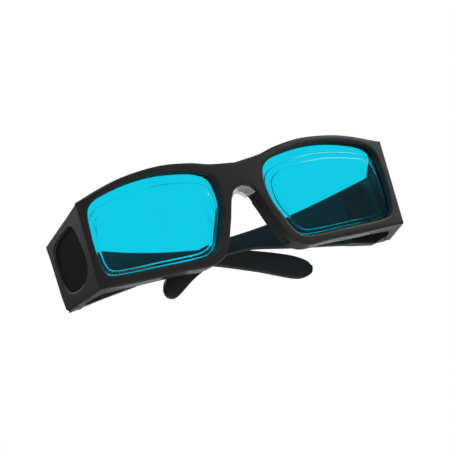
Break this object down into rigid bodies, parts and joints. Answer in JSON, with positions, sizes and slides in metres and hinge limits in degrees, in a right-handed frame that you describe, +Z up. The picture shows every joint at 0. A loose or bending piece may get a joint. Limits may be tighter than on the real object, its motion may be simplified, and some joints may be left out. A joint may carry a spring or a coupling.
{
  "type": "laser safety glasses",
  "caption": "Wraparound laser safety glasses with cyan filter lenses, a moulded black frame with flared side shields, a clear nose saddle and folding temples.",
  "frame": {"origin": "middle of the folded glasses' bounding box", "axes": "+X across the front towards the viewer's right, -Y forward through the lenses, +Z up as worn"},
  "size_m": [0.1624, 0.0516, 0.0546],
  "materials": {
    "frame_black": "satin moulded nylon",
    "lens_cyan": "clear dyed polycarbonate",
    "saddle_clear": "clear soft vinyl",
    "hinge_steel": "blackened steel"
  },
  "bodies": {
    "front": {"front_frame": "frame_black", "lens_left": "lens_cyan", "lens_right": "lens_cyan", "nose_saddle": "saddle_clear", "frame_leaf_left": "hinge_steel", "frame_leaf_right": "hinge_steel", "frame_rivets_left": "hinge_steel", "frame_rivets_right": "hinge_steel", "hinge_screw_left": "hinge_steel", "hinge_screw_right": "hinge_steel"},
    "temple_left": {"temple_left": "frame_black", "temple_leaf_left": "hinge_steel", "temple_rivets_left": "hinge_steel"},
    "temple_right": {"temple_right": "frame_black", "temple_leaf_right": "hinge_steel", "temple_rivets_right": "hinge_steel"}
  },
  "joints": [
    {"name": "temple_left_hinge", "type": "hinge", "parent": "front", "child": "temple_left", "pos_m": [-0.077, 0.00698, -0.00613], "axis": [0, 0, 1], "range_deg": [0, 89.1]},
    {"name": "temple_right_hinge", "type": "hinge", "parent": "front", "child": "temple_right", "pos_m": [0.077, 0.00698, -0.00613], "axis": [0, 0, -1], "range_deg": [0, 96.3]}
  ],
  "couplings": [
    {"joint": "temple_right_hinge", "follows": "temple_left_hinge", "ratio": 1.0808}
  ]
}
